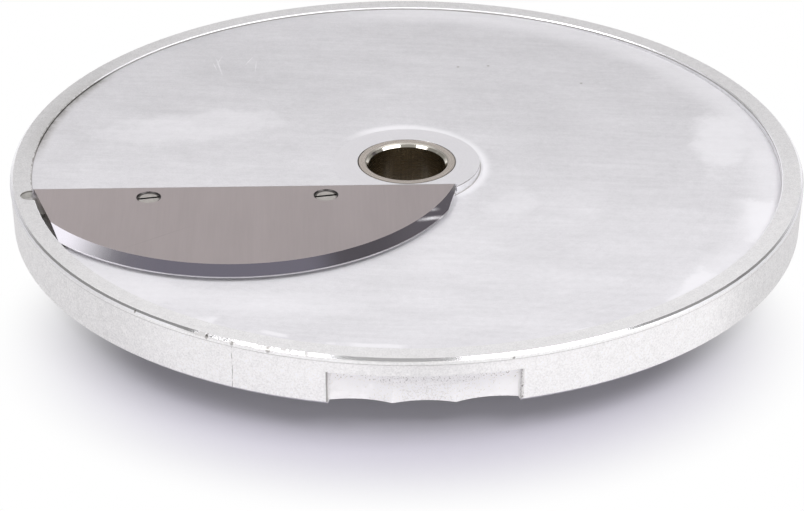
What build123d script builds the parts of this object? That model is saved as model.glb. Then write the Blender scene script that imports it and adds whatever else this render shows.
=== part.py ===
from build123d import *
from math import sqrt
import os

# Slicing disc of a vegetable cutter: a cast aluminium disc with a pressed-in steel bush
# and a sickle blade held by two countersunk screws. Millimetres, +Z up. The origin is on
# the bush's axis at its foot, which the disc stands on. X runs along the blade's straight
# back edge, and the finger recess in the rim faces -Y. The disc turns anticlockwise seen
# from above, so the plate falls clockwise from the blade's back, round the disc, to the
# low land ahead of the cutting edge.

# Rim of the casting
disc_diameter = 205.0
rim_height = 13.5
rim_width = 5.5
rim_step = 0.6
rim_chamfer = 0.8
rim_inner_break = 0.25
turned_land_height = 0.7
turned_land_step = 0.12
rim_draft = 0.4
skirt_wall = 6.3
skirt_draft = 0.5
rim_foot_chamfer = 0.8
casting_chamfer = 2.0

# Plate of the casting
slice_thickness = 1.0
plate_wall = 3.4
ramp_start_angle = 82.0
ramp_end_angle = -62.0

# Hub of the casting
hub_drop = 8.0
boss_diameter = 38.0
hub_foot_diameter = 34.0
hub_foot_chamfer = 0.8
bush_proud = 1.5
seat_break = 0.3

# Ribs under the plate
rib_count = 5
rib_pitch_angle = 45.0
rib_first_angle = -45.0
rib_thickness = 4.0
rib_depth_at_hub = 6.0
rib_depth_at_skirt = 2.5

# Finger recess in the rim's side
recess_facing_angle = -89.6
recess_roof_depth = 4.5
scallop_count = 3
scallop_pitch_angle = 8.55
scallop_radius = 24.0
scallop_depth = 4.5
recess_wall = 4.0
recess_pad_margin_angle = 3.0

# Bush and its drive slot
bore_diameter = 20.0
bush_wall = 2.5
bush_fit = 0.02
bore_mouth_chamfer = 0.9
bush_edge_chamfer = 0.4
drive_slot_width = 6.2
drive_slot_depth = 6.0
drive_slot_relief = 0.4

# Blade
blade_thickness = 1.5
blade_back_offset = 13.2
blade_centre_x = -43.7
edge_radius = 59.6
edge_reach = 58.6
edge_land = 0.1
bevel_radius = 58.0
bevel_width = 4.3
blade_tip_x = 12.5
blade_tip_lean = 13.5
blade_end_x = -95.6
blade_end_lean = 17.0
blade_fit = 0.1

# Ledge that carries the blade, and the throat ahead of it
ledge_width = 10.8
ledge_end_x = 2.0
ledge_rib_depth = 3.0
ledge_nose = 2.0
ledge_slope_width = 4.0
lip_radius = 58.2
lip_centre_y = 1.8
lip_thickness = 1.2
relief_diameter = 5.4
relief_inset = 4.3
relief_outset = 0.6

# Blade screws, M3 slotted countersunk
screw_spacing = 45.0
screw_inset = 5.1
screw_diameter = 3.0
screw_length = 6.0
screw_head_diameter = 5.6
screw_head_land = 0.1
screw_sunk = 0.25
screw_fit = 0.02
screw_tip_chamfer = 0.4
slot_width = 0.8
slot_depth = 0.7
slot_angle = 11.0

# How far a cutting solid reaches past the face that it cuts, and a rib into its wall
overrun = 1.0

# Heights, from the foot upwards
rim_foot_z = hub_drop
rim_top_z = rim_foot_z + rim_height
high_land_z = rim_top_z - rim_step
seat_z = high_land_z - blade_thickness
low_land_z = seat_z - slice_thickness
plate_foot_z = low_land_z - plate_wall
ledge_foot_z = plate_foot_z - ledge_rib_depth
hub_foot_z = bush_proud
recess_roof_z = rim_top_z - recess_roof_depth
turned_land_z = rim_top_z - rim_chamfer - turned_land_height

# Radii and places in plan
disc_radius = disc_diameter / 2
plate_radius = disc_radius - rim_width
skirt_radius = disc_radius - skirt_wall
boss_radius = boss_diameter / 2
hub_foot_radius = hub_foot_diameter / 2
bore_radius = bore_diameter / 2
bush_radius = bore_radius + bush_wall
bush_seat_radius = bush_radius + bush_fit
throat_end_radius = skirt_radius - casting_chamfer
scallop_floor_radius = disc_radius - scallop_depth
recess_half_angle = scallop_count * scallop_pitch_angle / 2
blade_back_y = -blade_back_offset
ledge_front_y = blade_back_y - ledge_width
edge_centre_y = edge_radius - edge_reach
bevel_centre_y = bevel_radius - (edge_reach - bevel_width)
screw_y = blade_back_y - screw_inset
screw_xs = [blade_centre_x - screw_spacing / 2, blade_centre_x + screw_spacing / 2]
screw_radius = screw_diameter / 2
screw_head_radius = screw_head_diameter / 2
screw_hole_radius = screw_radius + screw_fit


def round_bar(radius, low_z, high_z, x=0.0, y=0.0):
    """An upright cylinder between two heights."""
    upright = (Align.CENTER, Align.CENTER, Align.MIN)
    return Pos(x, y, low_z) * Cylinder(radius, high_z - low_z, align=upright)


def frustum(low_radius, high_radius, low_z, high_z, x=0.0, y=0.0):
    """An upright cone between two heights."""
    upright = (Align.CENTER, Align.CENTER, Align.MIN)
    return Pos(x, y, low_z) * Cone(low_radius, high_radius, high_z - low_z, align=upright)


def block(low, high):
    """A box between two opposite corners."""
    size = Vector(high) - Vector(low)
    return Pos(Vector(low) + size * 0.5) * Box(size.X, size.Y, size.Z)


def behind(y):
    """A block that holds all of the disc behind a line along X."""
    return block((-disc_diameter, y, -overrun), (disc_diameter, disc_diameter, rim_top_z + overrun))


def past(x, lean, low_x, high_x):
    """A block past an end of the blade: its face starts at x on the blade's back and leans in plan."""
    reach = disc_diameter
    cut = block((low_x, -reach, -overrun), (high_x, reach, rim_top_z + overrun))
    return Pos(x, blade_back_y, 0) * Rot(0, 0, lean) * cut


def past_tip(clearance):
    """What is past the blade's inner end, with a clearance."""
    return past(blade_tip_x + clearance, -blade_tip_lean, 0, disc_diameter)


def radial_plane(angle):
    """The upright plane through the axis at an angle: its x runs outwards and its y up."""
    outwards = Vector(1, 0, 0).rotate(Axis.Z, angle)
    return Plane(origin=(0, 0, 0), x_dir=outwards, z_dir=outwards.rotate(Axis.Z, -90))


def radial_rectangle(angle, inner_radius, outer_radius, low_z, high_z):
    """A rectangle on a radial plane."""
    width = outer_radius - inner_radius
    height = high_z - low_z
    middle = Pos(inner_radius + width / 2, low_z + height / 2)
    return radial_plane(angle) * (middle * Rectangle(width, height))


def ring_sector(inner_radius, outer_radius, low_z, high_z, first_angle, last_angle):
    """Part of a ring, anticlockwise from one angle to the other."""
    section = radial_rectangle(first_angle, inner_radius, outer_radius, low_z, high_z)
    return revolve(section, axis=Axis.Z, revolution_arc=last_angle - first_angle)


def turned(half_section):
    """A solid of revolution about the axis from the outline of its half section."""
    return revolve(Plane.XZ * make_face(half_section), axis=Axis.Z)


# Casting


def ramp_cut():
    """What is above the ramp: it climbs anticlockwise from the low land to the high land."""
    climb = high_land_z - low_land_z
    turn = ramp_start_angle - ramp_end_angle
    reach_radius = plate_radius + overrun
    path = Helix(pitch=climb * 360 / turn, height=climb, radius=boss_radius)
    path = Pos(0, 0, low_land_z) * Rot(0, 0, ramp_end_angle) * path
    top_z = high_land_z + overrun
    section = radial_rectangle(ramp_end_angle, boss_radius, reach_radius, low_land_z, top_z)
    return sweep(section, path, is_frenet=True)


def low_land_cut():
    """What is above the low land: from the ramp's foot clockwise to the blade's ledge."""
    low_z = low_land_z
    high_z = high_land_z + overrun
    reach_radius = plate_radius + overrun
    land = ring_sector(boss_radius, reach_radius, low_z, high_z, -180.0, ramp_end_angle)
    ledge = block((-reach_radius, ledge_front_y, low_z), (ledge_end_x, 0, high_z))
    return land - ledge


def blade_pocket():
    """The blade's plan with its fit, from its seat upwards."""
    high_z = high_land_z + overrun
    sickle = round_bar(edge_radius + blade_fit, seat_z, high_z, blade_centre_x, edge_centre_y)
    return sickle - behind(blade_back_y + blade_fit) - past_tip(blade_fit)


def plate():
    """The plate inside the rim, with its lands and ramp and the seat for the blade."""
    slab = round_bar(plate_radius, plate_foot_z, high_land_z)
    return slab - ramp_cut() - low_land_cut() - blade_pocket()


def rim():
    """The rim and its skirt: turned on top and cast below."""
    cast_radius = disc_radius - turned_land_step
    ring = turned(
        Polyline(
            (throat_end_radius, plate_foot_z),
            (plate_radius, plate_foot_z),
            (plate_radius, rim_top_z - rim_inner_break),
            (plate_radius + rim_inner_break, rim_top_z),
            (disc_radius - rim_chamfer, rim_top_z),
            (disc_radius, rim_top_z - rim_chamfer),
            (disc_radius, turned_land_z),
            (cast_radius, turned_land_z),
            (cast_radius - rim_draft, rim_foot_z),
            (skirt_radius + skirt_draft, rim_foot_z),
            (skirt_radius, plate_foot_z - casting_chamfer),
            close=True,
        )
    )
    foot_edges = ring.edges().group_by(Axis.Z)[0]
    return chamfer(foot_edges, rim_foot_chamfer)


def hub():
    """The hub under the plate."""
    return turned(
        Polyline(
            (0, plate_foot_z),
            (0, hub_foot_z),
            (hub_foot_radius - hub_foot_chamfer, hub_foot_z),
            (hub_foot_radius, hub_foot_z + hub_foot_chamfer),
            (boss_radius, plate_foot_z - casting_chamfer),
            (boss_radius + casting_chamfer, plate_foot_z),
            close=True,
        )
    )


def rib(angle):
    """A radial rib from the hub to the skirt, shallower towards the skirt."""
    outline = Polyline(
        (bush_seat_radius + overrun, plate_foot_z + overrun),
        (skirt_radius + overrun, plate_foot_z + overrun),
        (skirt_radius + overrun, plate_foot_z - rib_depth_at_skirt),
        (bush_seat_radius + overrun, plate_foot_z - rib_depth_at_hub),
        close=True,
    )
    return extrude(radial_plane(angle) * make_face(outline), rib_thickness / 2, both=True)


def ledge_rib():
    """The rib under the blade's ledge, from the skirt to the hub."""
    low = (-disc_radius, ledge_front_y, ledge_foot_z)
    high = (ledge_end_x, blade_back_y, plate_foot_z + overrun)
    return block(low, high) & round_bar(skirt_radius + overrun, ledge_foot_z, rim_top_z)


def throat():
    """The window under the blade's edge, with a thinned lip ahead and a sloped ledge behind."""
    low_z = ledge_foot_z - overrun
    high_z = rim_top_z + overrun
    lip_foot_z = low_land_z - lip_thickness
    flare = lip_foot_z - low_z
    window = round_bar(lip_radius, low_z, high_z, blade_centre_x, lip_centre_y)
    window += frustum(lip_radius + flare, lip_radius, low_z, lip_foot_z, blade_centre_x, lip_centre_y)
    slope = Polyline(
        (ledge_front_y - overrun, seat_z - ledge_nose),
        (ledge_front_y, seat_z - ledge_nose),
        (ledge_front_y + ledge_slope_width, ledge_foot_z),
        (ledge_front_y + ledge_slope_width, low_z),
        (ledge_front_y - overrun, low_z),
        close=True,
    )
    slope_start = Plane.YZ.offset(-disc_radius)
    sloped = extrude(slope_start * make_face(slope), disc_radius + ledge_end_x)
    return (window - behind(ledge_front_y) + sloped) & round_bar(throat_end_radius, low_z, high_z)


def finger_recess():
    """The grip in the rim's side: a row of scallops, open below."""
    low_z = rim_foot_z - overrun
    first_angle = recess_facing_angle - recess_half_angle
    last_angle = recess_facing_angle + recess_half_angle
    scallop = round_bar(scallop_radius, low_z, recess_roof_z, scallop_floor_radius + scallop_radius)
    scallops = Part()
    for index in range(scallop_count):
        scallops += Rot(0, 0, first_angle + (index + 0.5) * scallop_pitch_angle) * scallop
    return scallops & ring_sector(0, disc_diameter, low_z, recess_roof_z, first_angle, last_angle)


def recess_pad():
    """The skirt's thickening behind the finger recess."""
    return ring_sector(
        scallop_floor_radius - recess_wall,
        skirt_radius + overrun,
        rim_foot_z + rim_foot_chamfer,
        plate_foot_z + overrun,
        recess_facing_angle - recess_half_angle - recess_pad_margin_angle,
        recess_facing_angle + recess_half_angle + recess_pad_margin_angle,
    )


def bush_seat():
    """The hole that the bush is pressed into, with a broken edge at its mouth."""
    mouth_z = high_land_z - seat_break
    hole = round_bar(bush_seat_radius, 0, high_land_z + overrun)
    wide_radius = bush_seat_radius + seat_break + overrun
    return hole + frustum(bush_seat_radius, wide_radius, mouth_z, high_land_z + overrun)


def drive_slot(width):
    """The slot across the foot that the drive pin sits in."""
    return block((-boss_radius, -width / 2, -overrun), (boss_radius, width / 2, drive_slot_depth))


def relief():
    """The round relief in the rim's top at the end of the blade."""
    y = blade_back_y - relief_inset
    x = -sqrt((plate_radius + relief_outset) ** 2 - y**2)
    return round_bar(relief_diameter / 2, seat_z, rim_top_z + overrun, x, y)


def screw_hole(x):
    """A countersunk screw hole through the blade and its ledge."""
    mouth_radius = screw_head_radius + screw_fit + screw_head_land + screw_sunk
    throat_z = high_land_z - (mouth_radius - screw_hole_radius)
    hole = round_bar(screw_hole_radius, ledge_foot_z - overrun, high_land_z + overrun, x, screw_y)
    sink = frustum(
        screw_hole_radius, mouth_radius + overrun, throat_z, high_land_z + overrun, x, screw_y
    )
    return hole + sink


def disc_body():
    body = plate() + rim() + hub() + ledge_rib() + recess_pad()
    for index in range(rib_count):
        body += rib(rib_first_angle + index * rib_pitch_angle)
    body -= throat()
    body -= finger_recess()
    body -= relief()
    body -= bush_seat()
    body -= drive_slot(drive_slot_width + 2 * drive_slot_relief)
    for x in screw_xs:
        body -= screw_hole(x)
    return body


# Steel pieces


def hub_bush():
    bush = turned(
        Polyline(
            (bore_radius + bush_edge_chamfer, 0),
            (bush_radius - bush_edge_chamfer, 0),
            (bush_radius, bush_edge_chamfer),
            (bush_radius, high_land_z),
            (bore_radius + bore_mouth_chamfer, high_land_z),
            (bore_radius, high_land_z - bore_mouth_chamfer),
            (bore_radius, bush_edge_chamfer),
            close=True,
        )
    )
    return bush - drive_slot(drive_slot_width)


def slicing_blade():
    """A sickle with straight ends: its round edge is ground back to a slanting cone."""
    edge = Pos(blade_centre_x, edge_centre_y, seat_z + edge_land) * Circle(edge_radius)
    bevel_top = Pos(blade_centre_x, bevel_centre_y, high_land_z) * Circle(bevel_radius)
    blade = loft([edge, bevel_top], ruled=True)
    blade += round_bar(edge_radius, seat_z, seat_z + edge_land, blade_centre_x, edge_centre_y)
    blade -= behind(blade_back_y)
    blade -= past_tip(0)
    blade -= past(blade_end_x, blade_end_lean, -disc_diameter, 0)
    for x in screw_xs:
        blade -= screw_hole(x)
    return blade


def blade_screw(x):
    cone_foot = screw_head_land + screw_head_radius - screw_radius
    screw = turned(
        Polyline(
            (0, 0),
            (screw_head_radius, 0),
            (screw_head_radius, -screw_head_land),
            (screw_radius, -cone_foot),
            (screw_radius, screw_tip_chamfer - screw_length),
            (screw_radius - screw_tip_chamfer, -screw_length),
            (0, -screw_length),
            close=True,
        )
    )
    slot_low = (-screw_head_diameter, -slot_width / 2, -slot_depth)
    slot_high = (screw_head_diameter, slot_width / 2, overrun)
    screw -= Rot(0, 0, slot_angle) * block(slot_low, slot_high)
    return Pos(x, screw_y, high_land_z - screw_sunk) * screw


os.makedirs("parts", exist_ok=True)
export_step(disc_body(), "parts/disc_body.step")
export_step(hub_bush(), "parts/hub_bush.step")
export_step(slicing_blade(), "parts/slicing_blade.step")
export_step(Compound([blade_screw(x) for x in screw_xs]), "parts/blade_screws.step")
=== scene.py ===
from math import cos, pi, radians, sin

import bpy
from mathutils import Matrix, Vector


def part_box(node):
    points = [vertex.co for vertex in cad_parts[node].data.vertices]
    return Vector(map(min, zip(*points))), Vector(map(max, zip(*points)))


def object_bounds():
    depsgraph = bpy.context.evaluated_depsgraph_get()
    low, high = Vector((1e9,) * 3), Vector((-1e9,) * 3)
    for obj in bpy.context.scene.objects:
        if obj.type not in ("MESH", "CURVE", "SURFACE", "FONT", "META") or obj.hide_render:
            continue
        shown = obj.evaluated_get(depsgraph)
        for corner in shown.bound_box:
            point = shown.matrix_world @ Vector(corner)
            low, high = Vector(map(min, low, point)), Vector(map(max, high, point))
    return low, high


# Slicing disc: the finishes of the casting, bush, blade and screws, on a white studio table.
# The scene is in metres and the finishes are worked out in millimetres.

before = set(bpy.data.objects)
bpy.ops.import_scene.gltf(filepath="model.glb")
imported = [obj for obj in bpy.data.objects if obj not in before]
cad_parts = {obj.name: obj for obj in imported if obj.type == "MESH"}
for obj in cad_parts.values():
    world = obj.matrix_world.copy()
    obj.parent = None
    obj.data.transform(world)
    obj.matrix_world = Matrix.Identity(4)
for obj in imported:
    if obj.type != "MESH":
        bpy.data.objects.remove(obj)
cad_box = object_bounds()

# Picture and camera, from the rim's outline in the photograph
picture_width = 804
picture_height = 511
sensor_width = 36.0
focal_pixels = 3011.8
camera_elevation = 26.756
camera_azimuth = -2.09
camera_roll = 0.2163
camera_distance = 0.78282
rim_centre_pixel = (406.78, 159.24)

# Studio: two level ceiling panels, each given by its middle, its sides and its turn, in metres and degrees
panel_height = 1.1
panel_radiance = 4.3
left_panel_middle = (-0.668, -0.225)
left_panel_sides = (0.415, 1.25)
left_panel_turn = 6.8
right_panel_middle = (0.66, -0.36)
right_panel_sides = (0.80, 1.12)
right_panel_turn = 0.0

# Room round the table, from its foot upwards: in front, at the sides and behind
skirting_front = (1.85, 1.85, 1.85)
skirting_side = (0.75, 0.75, 0.75)
skirting_back = (1.45, 1.45, 1.47)
wall_front = (1.28, 1.28, 1.28)
wall_side = (0.29, 0.29, 0.275)
wall_back = (0.60, 0.562, 0.556)
frieze_front = (0.55, 0.55, 0.55)
frieze_side = (0.29, 0.29, 0.28)
frieze_back = (0.34, 0.33, 0.34)
ceiling_front = (0.40, 0.40, 0.385)
ceiling_back = (0.215, 0.205, 0.245)
back_glow = (1.30, 1.28, 1.34)
dark_corner = (0.115, 0.107, 0.118)

# Table: its shade shows in front of the disc and fades to plain white further out
floor_grey = (0.505, 0.485, 0.56)
floor_radius = 4.0
shade_middle = (-0.0023, -0.0515)
shade_squeeze = 0.82
shade_radii = (0.0515, 0.0855)
shade_fill = 0.085

# Sizes of the disc that the finishes follow, in millimetres
mm = 0.001
disc_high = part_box("disc_body")[1]
blade_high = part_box("slicing_blade")[1]
disc_radius = disc_high.x / mm
rim_top = disc_high.z / mm
high_land = blade_high.z / mm
rim_width = 5.5
turned_land_foot = 20.0
plate_radius = disc_radius - rim_width
boss_radius = 19.0
bush_radius = 12.5
bore_radius = 10.0
polished_mouth = 0.6
recess_facing = -89.6
recess_half_angle = 12.825
recess_roof = 17.0
relief_centre = (-96.0, -17.5)
relief_radius = 2.7
edge_radius = 59.6
edge_centre = (-43.7, 1.0)
bevel_radius = 58.0
bevel_centre = (-43.7, 3.7)
screw_places = ((-66.2, -18.3), (-21.2, -18.3))
screw_seat_radius = 3.2

# Marks and painted shade round the casting: each arc's middle, half width and soft ends, in degrees
parting_angle = -115.5
dirty_shaded_corner_arc = (161.0, 11.0, 7.5)
blade_end_shade_arc = (-163.0, 7.5, 1.0)
dark_chamfer_arcs = ((-36.0, 24.0, 8.0), (-152.0, 26.0, 6.0))
front_chamfer_arc = (-90.0, 82.0, 8.0)
broken_chamfer_arc = (-112.5, 8.5, 2.5)


class Value:
    """A number or vector that varies over a surface, with Python's arithmetic on numbers."""

    def __init__(self, tree, socket):
        self.tree = tree
        self.socket = socket

    def maths(self, operation, *terms):
        return self.tree.node("ShaderNodeMath", {"operation": operation}, dict(enumerate(terms)))

    def __add__(self, other):
        return self.maths("ADD", self, other)

    def __radd__(self, other):
        return self.maths("ADD", other, self)

    def __sub__(self, other):
        return self.maths("SUBTRACT", self, other)

    def __rsub__(self, other):
        return self.maths("SUBTRACT", other, self)

    def __mul__(self, other):
        return self.maths("MULTIPLY", self, other)

    def __rmul__(self, other):
        return self.maths("MULTIPLY", other, self)

    def __truediv__(self, other):
        return self.maths("DIVIDE", self, other)

    def __pow__(self, other):
        return self.maths("POWER", self, other)

    def __abs__(self):
        return self.maths("ABSOLUTE", self)

    def larger(self, other):
        return self.maths("MAXIMUM", self, other)

    def smaller(self, other):
        return self.maths("MINIMUM", self, other)


class Tree:
    """The nodes of a material or of the world."""

    def __init__(self, owner):
        owner.use_nodes = True
        self.tree = owner.node_tree
        self.tree.nodes.clear()

    def node(self, kind, settings=None, sockets=None, output=0):
        """Adds a node, with its settings set before its sockets, and gives one of its outputs, if any."""
        made = self.tree.nodes.new(kind)
        for name, value in (settings or {}).items():
            setattr(made, name, value)
        for key, value in (sockets or {}).items():
            if isinstance(value, Value):
                self.tree.links.new(value.socket, made.inputs[key])
            else:
                made.inputs[key].default_value = value
        if made.outputs:
            return Value(self, made.outputs[output])

    def split(self, vector):
        """The three numbers of a vector."""
        first = self.node("ShaderNodeSeparateXYZ", None, {0: vector})
        outputs = first.socket.node.outputs
        return [Value(self, socket) for socket in outputs]

    def smooth(self, value, low, high):
        """Rises from 0 at low to 1 at high."""
        settings = {"interpolation_type": "SMOOTHSTEP"}
        return self.node("ShaderNodeMapRange", settings, {0: value, 1: low, 2: high})

    def band(self, value, low, high, soft):
        """Is 1 between low and high and fades to 0 over the soft width outside them."""
        return self.smooth(value, low - soft, low) * (1 - self.smooth(value, high, high + soft))

    def colour(self, mask, low, high):
        """A colour that goes from low to high with the mask."""
        settings = {"data_type": "RGBA"}
        return self.node("ShaderNodeMix", settings, {0: mask, 6: low, 7: high}, 2)

    def stretched(self, place, factors, turn=0.0):
        """Coordinates turned about Z by an angle in degrees, then scaled."""
        turned = self.node("ShaderNodeVectorRotate", {"rotation_type": "Z_AXIS"},
                           {"Vector": place, "Angle": radians(turn)})
        return self.node("ShaderNodeVectorMath", {"operation": "MULTIPLY"}, {0: turned, 1: factors})

    def noise(self, place, scale, detail=2.0, roughness=0.5):
        """A noise of about 0.5 whose features are about one over the scale in size."""
        sockets = {"Vector": place, "Scale": scale, "Detail": detail, "Roughness": roughness}
        return self.node("ShaderNodeTexNoise", None, sockets)


class Finish(Tree):
    """A metal finish: nodes on the disc's own coordinates, in millimetres."""

    def __init__(self, name):
        self.material = bpy.data.materials.new(name)
        super().__init__(self.material)
        metres = self.node("ShaderNodeTexCoord", None, None, "Object")
        self.place = self.node("ShaderNodeVectorMath", {"operation": "SCALE"}, {0: metres, "Scale": 1 / mm})
        self.x, self.y, self.z = self.split(self.place)
        self.radius = (self.x * self.x + self.y * self.y) ** 0.5
        self.angle = self.x.maths("ARCTAN2", self.y, self.x) * (180 / pi)
        normal = self.node("ShaderNodeNewGeometry", None, None, "Normal")
        self.facing = self.split(normal)[2]

    def round_place(self):
        """Coordinates along the turning: millimetres round the rim, out from the axis, and up."""
        sockets = {0: self.angle * radians(disc_radius), 1: self.radius, 2: self.z}
        return self.node("ShaderNodeCombineXYZ", None, sockets)

    def scratch(self, start, end, width):
        """A straight scratch between two points on the plate."""
        run = Vector(end) - Vector(start)
        across_x = self.x - start[0]
        across_y = self.y - start[1]
        along = (across_x * run.x + across_y * run.y) / run.length_squared
        along = along.larger(0.0).smaller(1.0)
        off_x = across_x - along * run.x
        off_y = across_y - along * run.y
        away = (off_x * off_x + off_y * off_y) ** 0.5
        taper = 1 - abs(along * 2 - 1) * 0.7
        return (1 - self.smooth(away, 0, width)) * taper

    def patch(self, centre, half_length, half_width, turn, ragged):
        """A soft spot on the plate: an ellipse with a ragged edge."""
        lean = radians(turn)
        across_x = self.x - centre[0]
        across_y = self.y - centre[1]
        along = (across_x * cos(lean) + across_y * sin(lean)) / half_length
        aside = (across_y * cos(lean) - across_x * sin(lean)) / half_width
        reach = (along * along + aside * aside) ** 0.5 + (ragged - 0.5) * 1.2
        return 1 - self.smooth(reach, 0.45, 1.0)

    def away_from(self, centre):
        """How far a place is from an upright axis."""
        off_x = self.x - centre[0]
        off_y = self.y - centre[1]
        return (off_x * off_x + off_y * off_y) ** 0.5

    def finish(self, colour, roughness, metallic, height, bump_distance, bump_strength):
        """Ends the nodes in a metal shader with a bump, its height in millimetres."""
        bump = self.node("ShaderNodeBump", None,
                         {"Strength": bump_strength, "Distance": bump_distance * mm, "Height": height})
        shader = self.node("ShaderNodeBsdfPrincipled", None, {
            "Base Color": colour, "Roughness": roughness, "Metallic": metallic, "Normal": bump})
        self.node("ShaderNodeOutputMaterial", None, {"Surface": shader})
        return self.material


class CastFinish(Finish):
    """The casting's finish, with masks for its faces."""

    def __init__(self, name):
        super().__init__(name)
        smooth = self.smooth
        upward = smooth(self.facing, 0.80, 0.95)
        upright = 1 - smooth(abs(self.facing), 0.25, 0.45)
        slanting = self.band(self.facing, 0.64, 0.76, 0.08)
        rim_zone = smooth(self.radius, plate_radius + 0.4, plate_radius + 0.5)
        near_top = smooth(self.z, rim_top - 1.2, rim_top - 1.0)
        self.rim_face = upward * smooth(self.z, rim_top - 0.15, rim_top - 0.05)
        self.chamfer = slanting * near_top * rim_zone
        self.inner_break = slanting * near_top * (1 - rim_zone)
        self.side = upright * rim_zone
        self.rim_wall = upright * self.band(self.radius, plate_radius - 0.05, plate_radius + 0.05, 0.05)
        self.boss_wall = upright * self.band(self.radius, boss_radius - 0.05, boss_radius + 0.05, 0.05)
        on_boss = 1 - smooth(self.radius, boss_radius - 0.1, boss_radius)
        self.boss_face = upward * on_boss * smooth(self.z, high_land - 0.1, high_land - 0.02)
        self.plate_face = upward * (1 - rim_zone) * (1 - self.rim_face) * (1 - self.boss_face)
        self.bush_gap_shade = 1 - smooth(self.radius, bush_radius + 0.24, bush_radius + 0.38)
        self.hidden = 1 - smooth(self.facing, -0.5, -0.2)
        self.grain = self.noise(self.place, 2.6, 2.0, 0.6)
        self.mottle = self.noise(self.place, 0.55, 3.0, 0.65)
        self.ragged = self.noise(self.place, 0.16, 3.0, 0.6)
        self.fine = self.noise(self.place, 2.2, 3.0, 0.7)
        within = 1 - smooth(abs(self.angle - recess_facing), recess_half_angle - 0.1, recess_half_angle)
        right_arc, left_arc = dark_chamfer_arcs
        sides = self.near_angle(*right_arc).larger(self.near_angle(*left_arc))
        level = self.z - rim_top + 0.62 - sides * 0.19
        front = self.near_angle(*front_chamfer_arc)
        self.worn_chamfer = self.chamfer * front * (1 - smooth(level, -0.06, 0.06))
        self.grey_chamfer = self.worn_chamfer * (1 - sides)
        self.recess = within * (1 - smooth(self.z, recess_roof, recess_roof + 0.1)) * self.side

    def near_angle(self, middle, half_width, soft):
        """Is 1 within an arc, given by its middle and half width in degrees."""
        return 1 - self.smooth(abs(self.angle - middle), half_width, half_width + soft)

    def wedge(self, first, last, first_depth, last_depth, soft):
        """A wedge on the plate along the rim, from one angle to another, with its depth at each."""
        along = (self.angle - first) / (last - first)
        depth = first_depth + along * (last_depth - first_depth) + (self.ragged - 0.5) * 6.0
        inner = self.smooth(self.radius + depth, plate_radius - soft * 0.4, plate_radius + soft * 0.6)
        ends = self.band(along + (self.mottle - 0.5) * 0.3, 0.16, 0.86, 0.14)
        return inner * ends * 0.9

    def dash(self, middle, half_width, radius, thickness):
        """A short pale dash along the turning."""
        away = abs(self.radius - radius + (self.ragged - 0.5) * 1.5)
        along = abs(self.angle - middle) + (self.mottle - 0.5) * 2.0
        ends = self.smooth(along, half_width * 0.7, half_width * 1.2)
        return (1 - self.smooth(away, thickness * 0.4, thickness * 1.1)) * (1 - ends) * 0.85

    def nick(self, angle, z, size):
        """A dent in the rim's outer edge."""
        along = (self.angle - angle) * radians(disc_radius)
        up = self.z - z
        away = (along * along + up * up) ** 0.5 + (self.grain - 0.5) * size
        outside = self.smooth(self.radius, disc_radius - 1.1, disc_radius - 0.8)
        return (1 - self.smooth(away, size * 0.4, size)) * outside


def casting_tone(cast):
    """How pale the clean metal is on each face, with painted light and shade: paler towards the front,
    darker towards the left, and lighter and darker places round the side and the chamfer.
    """
    place = cast.place
    clouds = cast.noise(cast.stretched(place, (0.55, 1.0, 1.0), 6), 0.07, 4.0, 0.6)
    streaks = cast.noise(cast.stretched(place, (0.10, 1.3, 1.0), 6), 0.5, 3.0, 0.6)
    turned = cast.stretched(cast.round_place(), (0.03, 2.2, 1.0))
    turning = cast.noise(turned, 1.0, 2.0, 0.6)

    # Painted light: the plate and rim top paler towards the front, the rim top darker towards the left.
    front_painted_light = cast.smooth(cast.y, 60.0, -70.0)
    left_painted_shade = cast.smooth(cast.x, -50.0, -98.0)
    plate = 0.715 + front_painted_light * 0.14 + (clouds - 0.5) * 0.20 + (streaks - 0.5) * 0.10
    plate = plate + (cast.grain - 0.5) * 0.14 + (cast.mottle - 0.5) * 0.12
    plate = plate + (turning - 0.5) * front_painted_light * 0.06
    rim = 0.73 + front_painted_light * 0.13 - left_painted_shade * 0.09 + (turning - 0.5) * 0.05
    rim = rim + (cast.mottle - 0.5) * 0.20 + (cast.grain - 0.5) * 0.40
    # Painted light and shade on the side: lighter round -113 and -62 degrees and in the recess, darker
    # round -22 degrees.
    lit = cast.near_angle(-113.0, 9.0, 16.0).larger(cast.near_angle(-62.0, 14.0, 14.0))
    side = 0.835 + lit * 0.13 + cast.recess * 0.155 - cast.near_angle(-22.0, 14.0, 14.0) * 0.08
    side = side + (cast.mottle - 0.5) * 0.22 + (cast.fine - 0.5) * (0.55 + cast.recess * 0.5)
    boss = 0.79 + (clouds - 0.5) * 0.06 + (cast.grain - 0.5) * 0.08 + (turning - 0.5) * 0.06
    under = 0.66 + (cast.mottle - 0.5) * 0.2 + (cast.grain - 0.5) * 0.16

    tone = plate * (1 - cast.rim_face) + rim * cast.rim_face
    tone = tone * (1 - cast.side) + side * cast.side
    tone = tone * (1 - cast.boss_face) + boss * cast.boss_face
    # Painted shade: the chamfer darker at the left.
    left_chamfer_shade = cast.near_angle(-150.0, 28.0, 12.0)
    tone = tone * (1 - cast.chamfer) + (0.88 - left_chamfer_shade * 0.08) * cast.chamfer
    tone = tone * (1 - cast.inner_break) + 0.92 * cast.inner_break
    return tone * (1 - cast.hidden) + under * cast.hidden


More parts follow.
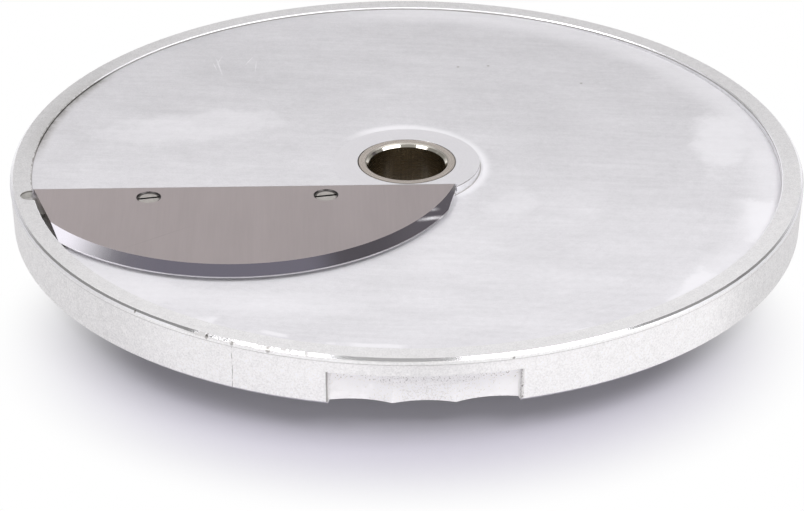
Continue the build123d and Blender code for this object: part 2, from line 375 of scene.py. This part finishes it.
def plate_wear_and_light(cast):
    """Pale places on the plate, rubbed by stacking, wiping and the food's path, with painted light: a pale
    strip before the blade's edge, a pale band along the rim at the right and a painted highlight round the
    boss.
    """
    pale = cast.patch((-55.0, 22.0), 32.0, 11.0, 12.0, cast.ragged) * 0.32
    for centre, half_length, half_width, turn, strength in (
        ((-70.0, -57.0), 27.0, 9.0, -38.0, 0.45),
        ((-40.0, -68.0), 40.0, 8.0, -6.0, 0.3),
        ((12.0, -40.0), 26.0, 12.0, 35.0, 0.12),
        ((84.0, 14.0), 24.0, 10.0, 80.0, 0.55),
        ((26.0, -20.0), 12.0, 8.0, 40.0, 0.25),
    ):
        pale = pale.larger(cast.patch(centre, half_length, half_width, turn, cast.ragged) * strength)
    for first, last, first_depth, last_depth, soft in (
        (-29.0, -12.0, 6.0, 11.0, 8.0),
        (-54.0, -37.0, 2.5, 9.0, 2.5),
        (-127.0, -121.5, 4.0, 8.0, 2.5),
    ):
        pale = pale.larger(cast.wedge(first, last, first_depth, last_depth, soft))
    for middle, half_width, radius, thickness in (
        (-66.0, 1.8, 92.6, 0.6),
        (-96.4, 4.2, 91.2, 1.2),
        (-103.2, 0.7, 91.3, 0.5),
        (-112.1, 2.2, 90.8, 1.0),
    ):
        pale = pale.larger(cast.dash(middle, half_width, radius, thickness))
    # Painted light: a pale strip on the low land before the blade's edge, where the blade's shadow falls.
    edge_painted_light = 1 - cast.smooth(cast.away_from(edge_centre), edge_radius + 1.0, edge_radius + 7.0)
    pale = pale.larger(edge_painted_light * cast.smooth(cast.z, high_land - 1.6, high_land - 2.2) * 0.14)
    # Painted light along the rim's foot at the right, and a painted highlight round the boss at the back
    # and right.
    near_rim = cast.smooth(cast.radius, plate_radius - 12.0, plate_radius - 3.0)
    pale = pale.larger(near_rim * cast.near_angle(25.0, 60.0, 30.0) * 0.5)
    boss_painted_highlight = cast.band(cast.radius, boss_radius, boss_radius + 1.0, 2.5) * cast.near_angle(40.0, 70.0, 40.0)
    return pale.larger(boss_painted_highlight * 0.9) * cast.plate_face


def plate_scratches(cast):
    """Fine bright scratches left of the middle."""
    scratches = cast.scratch((-50.7, 64.5), (-48.9, 54.0), 0.34)
    for start, end, width in (
        ((-42.6, 60.5), (-40.6, 65.6), 0.24),
        ((-39.6, 63.0), (-39.9, 55.7), 0.18),
        ((-51.6, 62.0), (-50.4, 57.0), 0.22),
        ((-49.2, 66.0), (-50.6, 60.5), 0.2),
    ):
        scratches = scratches.larger(cast.scratch(start, end, width))
    return scratches * cast.plate_face


def plate_soil_and_shade(cast):
    """Dirt and painted shade on and beside the plate: both in its corners, painted shade along the rim's
    and boss's walls, round the bush, in the blade's relief and beside the blade's end, and dirt in a few
    pits.
    """
    smooth = cast.smooth
    patchy = smooth(cast.mottle, 0.36, 0.60)
    dirty_shaded_corner = cast.near_angle(*dirty_shaded_corner_arc)
    # Dirt and painted shade in the corner where the plate meets the rim and on the rim's inner break,
    # heaviest at the left-back.
    corner = smooth(cast.radius, plate_radius - 0.30, plate_radius - 0.05) * cast.plate_face
    wide_corner = smooth(cast.radius, plate_radius - 3.0, plate_radius + 0.4) * cast.plate_face
    smudge = 0.05 + patchy * 0.3 + cast.ragged * 0.3
    soil_and_shade = corner * (0.2 + dirty_shaded_corner * 0.3) + wide_corner * dirty_shaded_corner * smudge
    dull_break = cast.near_angle(166.0, 12.0, 8.0).larger(cast.near_angle(-180.0, 10.0, 2.0))
    soil_and_shade = soil_and_shade + cast.inner_break * dull_break * (0.2 + patchy * 0.4)
    inner_rim = (1 - smooth(cast.radius, plate_radius + 0.6, plate_radius + 4.0)) * cast.rim_face
    soil_and_shade = soil_and_shade + inner_rim * dirty_shaded_corner * cast.ragged * 0.16
    # Painted shade: a dark line along the top of the rim's inner wall.
    line = cast.band(cast.z, rim_top - 0.62, rim_top - 0.25, 0.12)
    soil_and_shade = soil_and_shade + cast.rim_wall * (line * 0.52 + dirty_shaded_corner * 0.25)
    # Painted shade at the foot of the boss's step, along the top of its wall and in the gap round the bush.
    step_foot_shade = cast.band(cast.radius, boss_radius, boss_radius + 0.2, 0.25) * cast.plate_face
    boss_edge_shade = cast.boss_wall * smooth(cast.z, high_land - 0.3, high_land - 0.15)
    soil_and_shade = soil_and_shade + step_foot_shade * 0.5 * smooth(cast.z, high_land - 0.4, high_land - 1.2) + boss_edge_shade * 0.7
    soil_and_shade = soil_and_shade + cast.bush_gap_shade * 0.75
    # Painted shade in the blade's relief notch, darkest below its lip.
    relief = 1 - smooth(cast.away_from(relief_centre), relief_radius + 0.02, relief_radius + 0.08)
    relief = relief * smooth(cast.z, rim_top - 0.02, rim_top - 0.2)
    lip = smooth(cast.z, rim_top - 0.75, rim_top - 0.35)
    soil_and_shade = soil_and_shade.larger(relief * (0.24 + lip * 0.45 + patchy * 0.12))
    # Painted shade in the gap beside the blade's end.
    blade_end_shade = cast.band(cast.radius, plate_radius - 6.0, plate_radius + 0.1, 0.2)
    blade_end_shade = blade_end_shade * cast.near_angle(*blade_end_shade_arc)
    blade_end_shade = blade_end_shade * smooth(cast.z, high_land - 0.2, high_land - 0.5).larger(cast.rim_wall)
    soil_and_shade = soil_and_shade.larger(blade_end_shade * 0.72)
    for place in ((16.2, 57.8), (24.6, 58.5), (49.5, 47.4)):
        pit = 1 - smooth(cast.away_from(place), 0.15, 0.55)
        soil_and_shade = soil_and_shade.larger(pit * cast.plate_face * 0.4)
    return soil_and_shade


def rim_soil_and_shade(cast):
    """Dirt on the rim's side: the mould's parting line, the recess and dents, and painted shade at the
    turned land's foot.
    """
    smooth = cast.smooth
    parting = abs((cast.angle - parting_angle) * radians(disc_radius) + (cast.ragged - 0.5) * 1.2)
    broken = smooth(cast.mottle, 0.40, 0.54)
    soil_and_shade = (1 - smooth(parting, 0.05, 0.18)) * cast.side * broken * 0.45

    specks = smooth(cast.fine, 0.53, 0.62)
    first_end = recess_facing - recess_half_angle
    last_end = recess_facing + recess_half_angle
    below_roof = 1 - smooth(cast.z, recess_roof - 0.1, recess_roof + 0.2)
    thin_line = cast.band(cast.angle, first_end - 0.10, first_end + 0.06, 0.10)
    thin_line = thin_line * smooth(cast.radius, disc_radius - 1.2, disc_radius - 0.9)
    rough_line = cast.band(cast.angle, last_end - 0.4, last_end + 0.15, 0.25) * (0.3 + specks)
    rough_line = rough_line * smooth(cast.radius, disc_radius - 2.2, disc_radius - 1.2)
    recess_top = cast.recess * cast.band(cast.z, recess_roof - 3.2, recess_roof, 1.8)
    recess = (thin_line * 0.6 + rough_line * 0.6) * below_roof + recess_top * specks * 0.6
    soil_and_shade = soil_and_shade.larger(recess * cast.side)

    # Painted shade: a dark line at the foot of the turned land's step.
    land_foot_shade = cast.band(cast.z, turned_land_foot - 0.12, turned_land_foot + 0.02, 0.10)
    soil_and_shade = soil_and_shade.larger(land_foot_shade * cast.side * (0.22 + broken * 0.16))
    nicks = cast.nick(-119.2, rim_top - 0.6, 0.7)
    for angle, drop, size in (
        (-115.4, 0.7, 0.6),
        (-110.3, 0.6, 0.8),
        (-131.0, 0.5, 0.4),
        (-78.0, 1.1, 0.4),
    ):
        nicks = nicks.larger(cast.nick(angle, rim_top - drop, size))
    broken_white = cast.near_angle(*broken_chamfer_arc) * (1 - smooth(cast.mottle, 0.42, 0.50))
    broken_white = broken_white * cast.chamfer
    return soil_and_shade.larger(nicks * 0.6).larger(broken_white * 0.3).larger(cast.grey_chamfer * 0.3)


def casting_finish():
    """Cast aluminium, turned on the rim's top and chamfer and on the boss."""
    cast = CastFinish("cast_aluminium")
    pale = plate_wear_and_light(cast)
    # The darkening holds both dirt and painted shade; the paling holds both wear and painted light.
    soil_and_shade = plate_soil_and_shade(cast).larger(rim_soil_and_shade(cast)).smaller(0.92)
    tone = casting_tone(cast)
    tone = tone + (0.97 - tone) * pale * 0.85 + plate_scratches(cast) * 0.2
    tone = tone * (1 - soil_and_shade)
    cool = cast.colour(cast.rim_face, (0.992, 0.983, 1.016, 1), (0.998, 0.992, 0.998, 1))
    cool = cast.colour(cast.side, cool, (1.0, 0.993, 0.968, 1))
    soil_and_shade_tint = cast.colour(soil_and_shade, cool, (1.0, 0.95, 0.88, 1))
    colour = cast.node("ShaderNodeVectorMath", {"operation": "SCALE"}, {0: soil_and_shade_tint, "Scale": tone})
    bright_break = cast.inner_break * cast.near_angle(40.0, 22.0, 18.0)
    worn_left = cast.near_angle(-112.5, 7.5, 2.5) * (1 - cast.smooth(cast.mottle, 0.44, 0.54))
    worn = (cast.chamfer * worn_left).larger(cast.worn_chamfer)
    polished = (cast.chamfer - worn * 0.85).larger(bright_break * 0.7)
    roughness = 0.52 - cast.rim_face * 0.05 - cast.boss_face * 0.06 - pale * 0.05 - polished * 0.40
    roughness = roughness + cast.side * 0.06
    metallic = 0.45 - cast.side * 0.25 - cast.recess * 0.15 - pale * 0.2 + polished * 0.5
    height = (cast.grain - 0.5) * 0.6 + (cast.mottle - 0.5) * (0.3 + cast.side * 0.8 + cast.hidden)
    return cast.finish(colour, roughness, metallic, height * (1 - polished * 0.9), 0.05, 0.6)


def blade_finish():
    """Stainless strip brushed across its length, with a polished ground bevel, painted reflections on the
    bevel and painted shade in the countersinks.
    """
    steel = Finish("blade_steel")
    smooth = steel.smooth
    bevel = smooth(steel.away_from(bevel_centre), bevel_radius - 0.05, bevel_radius + 0.05)
    keen = smooth(steel.away_from(edge_centre), edge_radius - 0.35, edge_radius - 0.2)
    # Painted shade in the screws' countersinks.
    screw_seat_shade = 0.0
    for place in screw_places:
        near = 1 - smooth(steel.away_from(place), screw_seat_radius - 0.05, screw_seat_radius + 0.05)
        screw_seat_shade = near + screw_seat_shade
    screw_seat_shade = screw_seat_shade * smooth(steel.facing, 0.98, 0.9)
    brushing = steel.noise(steel.stretched(steel.place, (1.0, 0.03, 1.0)), 1.6, 3.0, 0.7)
    tone = steel.noise(steel.stretched(steel.place, (1.0, 0.3, 1.0)), 0.12, 2.0, 0.5)
    scratch = steel.scratch((-71.6, -45.8), (-55.0, -34.2), 0.3)
    # Painted reflection: light streaks across the bevel near the blade's point.
    streaks = steel.scratch((1.8, -32.6), (9.0, -28.0), 0.9)
    streaks = streaks.larger(steel.scratch((4.4, -27.8), (7.0, -26.0), 0.9) * 0.6)
    # Painted reflection: the bevel paler towards the blade's point.
    tip = smooth(steel.x, -10.0, 2.0)
    flat_grey = 0.635 + (brushing - 0.5) * 0.08 + (tone - 0.5) * 0.08 - scratch * 0.06
    grey = flat_grey * (1 - bevel) + (0.72 + tip * 0.2 + streaks * 0.08) * bevel
    grey = grey * (1 - keen) + 0.85 * keen
    grey = grey * (1 - screw_seat_shade * 0.9)
    tint = steel.colour(bevel, (1.0, 0.92, 0.92, 1), (0.985, 0.965, 1.0, 1))
    colour = steel.node("ShaderNodeVectorMath", {"operation": "SCALE"}, {0: tint, "Scale": grey})
    roughness = 0.34 + (brushing - 0.5) * 0.12 - bevel * 0.24 + keen * 0.25 + streaks * bevel * 0.3
    height = (brushing - 0.5) * (1 - bevel * 0.9)
    metallic = 1 - streaks * bevel * 0.5
    return steel.finish(colour, roughness, metallic, height, 0.02, 0.4)


def bush_finish():
    """Turned steel, with the tool's lines round it, and a brown bore painted dark as shade, with painted
    reflection lines along it.
    """
    steel = Finish("bush_steel")
    smooth = steel.smooth
    rings = steel.noise(steel.stretched(steel.round_place(), (0.02, 6.0, 6.0)), 1.0, 2.0, 0.6)
    lines = steel.noise(steel.stretched(steel.round_place(), (1.0, 1.0, 0.02)), 0.25, 3.0, 0.6)
    tone = steel.noise(steel.place, 0.25, 2.0)
    upright = 1 - smooth(abs(steel.facing), 0.25, 0.45)
    bore = upright * (1 - smooth(steel.radius, bore_radius + 0.05, bore_radius + 0.15))
    sloping = steel.band(steel.facing, 0.6, 0.8, 0.1)
    mouth_edge = bore_radius + polished_mouth
    dull = sloping * smooth(steel.radius, mouth_edge - 0.08, mouth_edge)
    mouth = sloping - dull
    grey = 0.74 + (rings - 0.5) * 0.12 + (tone - 0.5) * 0.08 - dull * 0.3
    # Painted shade and painted reflections: the bore darkened, with lighter lines along it.
    bore_shade_grey = 0.37 + (lines - 0.5) * 0.4
    grey = grey * (1 - bore) + bore_shade_grey * bore
    bright = steel.colour(bore, (1.0, 0.945, 0.86, 1), (1.0, 0.86, 0.62, 1))
    colour = steel.node("ShaderNodeVectorMath", {"operation": "SCALE"}, {0: bright, "Scale": grey})
    roughness = 0.26 + (rings - 0.5) * 0.12 - mouth * 0.18 + dull * 0.25
    return steel.finish(colour, roughness, 1.0, rings * (1 - mouth), 0.01, 0.35)


def screw_finish():
    """Plated steel, with fine turning on the heads, painted shade in the slots and a painted shadow at the
    back of each head.
    """
    steel = Finish("screw_steel")
    tone = steel.noise(steel.place, 0.9, 2.0)
    grain = steel.noise(steel.place, 6.0, 2.0)
    on_head = steel.smooth(steel.z, high_land - 0.5, high_land - 0.3)
    head_face = steel.smooth(steel.facing, 0.8, 0.95) * on_head
    shaded_edge = 0.0
    for place in screw_places:
        ring = steel.band(steel.away_from(place), 2.45, 3.0, 0.25)
        shaded_edge = ring * steel.smooth(steel.y - place[1], -1.2, 0.4) + shaded_edge
    head_face = head_face * (1 - shaded_edge * 0.8)
    # Painted shade: all but the heads' top faces, the slots included, is near black.
    grey = 0.07 + head_face * 0.44 + (tone - 0.5) * head_face * 0.3 + (grain - 0.5) * 0.06
    colour = steel.colour(grey, (0, 0, 0, 1), (1.0, 0.955, 0.90, 1))
    roughness = 0.42 + (tone - 0.5) * 0.15
    metallic = 1 - head_face * 0.45
    return steel.finish(colour, roughness, metallic, grain, 0.01, 0.3)


def floor_finish():
    """White table: it shows shade near the disc and plain white further out, and nothing from below."""
    material = bpy.data.materials.new("white_table")
    table = Tree(material)
    metres = table.node("ShaderNodeTexCoord", None, None, "Object")
    x, y = table.split(metres)[:2]
    off_x = (x - shade_middle[0]) * shade_squeeze
    off_y = y - shade_middle[1]
    far = table.smooth((off_x * off_x + off_y * off_y) ** 0.5, *shade_radii)
    far = shade_fill + far * (1 - shade_fill)
    path = table.node("ShaderNodeLightPath")
    seen = Value(table, path.socket.node.outputs["Is Camera Ray"])
    mirrored = Value(table, path.socket.node.outputs["Is Glossy Ray"])
    through = Value(table, path.socket.node.outputs["Is Transmission Ray"])
    below = table.node("ShaderNodeNewGeometry", None, None, "Backfacing")
    matte = table.node("ShaderNodeBsdfDiffuse", None, {"Color": (*floor_grey, 1)})
    glow = table.node("ShaderNodeEmission", None, {"Color": (1, 1, 1, 1), "Strength": 1.0})
    clear = table.node("ShaderNodeBsdfTransparent")
    lit = far * seen.larger(mirrored).larger(through)
    top = table.node("ShaderNodeMixShader", None, {0: lit, 1: matte, 2: glow})
    shader = table.node("ShaderNodeMixShader", None, {0: below * seen, 1: top, 2: clear})
    table.node("ShaderNodeOutputMaterial", None, {"Surface": shader})
    return material


def add_floor():
    """The table top, level with the disc's foot."""
    mesh = bpy.data.meshes.new("table_top")
    level = cad_box[0].z
    corners = [(-1, -1), (1, -1), (1, 1), (-1, 1)]
    mesh.from_pydata([(x * floor_radius, y * floor_radius, level) for x, y in corners], [], [(0, 1, 2, 3)])
    mesh.materials.append(floor_finish())
    floor = bpy.data.objects.new("table_top", mesh)
    bpy.context.scene.collection.objects.link(floor)


def add_world():
    """A pale room, darker upwards, with a glow high at the back left and a dark corner at the right."""
    world = bpy.data.worlds.new("studio_room")
    bpy.context.scene.world = world
    room = Tree(world)
    direction = room.node("ShaderNodeTexCoord", None, None, "Generated")
    x, y, z = room.split(direction)
    level = ((x * x + y * y) ** 0.5).larger(0.001)
    behind = room.smooth(y / level, -0.4, 0.6)
    aside = room.smooth(abs(x / level) + behind * 0.22, 0.57, 0.85)

    def band_colour(front, side, back):
        return room.colour(aside, room.colour(behind, (*front, 1), (*back, 1)), (*side, 1))

    skirting = band_colour(skirting_front, skirting_side, skirting_back)
    wall = band_colour(wall_front, wall_side, wall_back)
    frieze = band_colour(frieze_front, frieze_side, frieze_back)
    ceiling = room.colour(room.smooth(y, -0.25, 0.25), (*ceiling_front, 1), (*ceiling_back, 1))
    shade = room.colour(room.smooth(z, 0.12, 0.34), skirting, wall)
    shade = room.colour(room.smooth(z, 0.50, 0.60), shade, frieze)
    shade = room.colour(room.smooth(z, 0.76, 0.88), shade, ceiling)
    across = x / z.larger(0.05)
    back = y / z.larger(0.05)
    glow = (1 - room.smooth(across, -0.60, -0.33)) * room.smooth(back, 0.42, 0.54)
    glow = glow * room.smooth(z, 0.55, 0.62)
    shade = room.colour(glow, shade, (*back_glow, 1))
    corner = room.smooth(across, 0.155, 0.26) * room.smooth(y, 0.2, 0.3) * room.smooth(z, 0.38, 0.48)
    shade = room.colour(corner, shade, (*dark_corner, 1))
    sky = room.node("ShaderNodeBackground", None, {"Color": shade, "Strength": 1.0})
    room.node("ShaderNodeOutputWorld", None, {"Surface": sky})


def add_panel(name, middle, sides, turn):
    """A level ceiling panel that shines down."""
    lamp = bpy.data.lights.new(name, "AREA")
    lamp.shape = "RECTANGLE"
    lamp.size, lamp.size_y = sides
    lamp.energy = panel_radiance * pi * lamp.size * lamp.size_y
    panel = bpy.data.objects.new(name, lamp)
    panel.location = (*middle, rim_top * mm + panel_height)
    panel.rotation_euler = (0, 0, radians(turn))
    bpy.context.scene.collection.objects.link(panel)


def add_camera():
    """The photograph's camera, aimed so that the rim's middle falls on its pixel."""
    lens = bpy.data.cameras.new("camera")
    lens.sensor_width = sensor_width
    lens.lens = focal_pixels * sensor_width / picture_width
    lens.clip_start = 0.01
    lens.clip_end = 50.0
    turn = Matrix.Rotation(radians(camera_azimuth), 3, "Z")
    tilt = Matrix.Rotation(radians(90.0 - camera_elevation), 3, "X")
    roll = Matrix.Rotation(radians(camera_roll), 3, "Z")
    aim = turn @ tilt @ roll
    column, row = rim_centre_pixel
    sight = Vector((column - picture_width / 2, picture_height / 2 - row, -focal_pixels))
    pan = sight.rotation_difference(Vector((0, 0, -1))).to_matrix()
    place = Vector((0, 0, rim_top * mm)) + aim @ Vector((0, 0, camera_distance))
    camera = bpy.data.objects.new("camera", lens)
    camera.matrix_world = Matrix.Translation(place) @ (aim @ pan).to_4x4()
    bpy.context.scene.collection.objects.link(camera)
    bpy.context.scene.camera = camera


def dress(node, material):
    """Gives a CAD node its finish."""
    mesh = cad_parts[node].data
    mesh.materials.clear()
    mesh.materials.append(material)


dress("disc_body", casting_finish())
dress("slicing_blade", blade_finish())
dress("hub_bush", bush_finish())
dress("blade_screws", screw_finish())
add_floor()
add_world()
add_panel("left_panel", left_panel_middle, left_panel_sides, left_panel_turn)
add_panel("right_panel", right_panel_middle, right_panel_sides, right_panel_turn)
add_camera()
bpy.context.scene.view_settings.view_transform = "Standard"
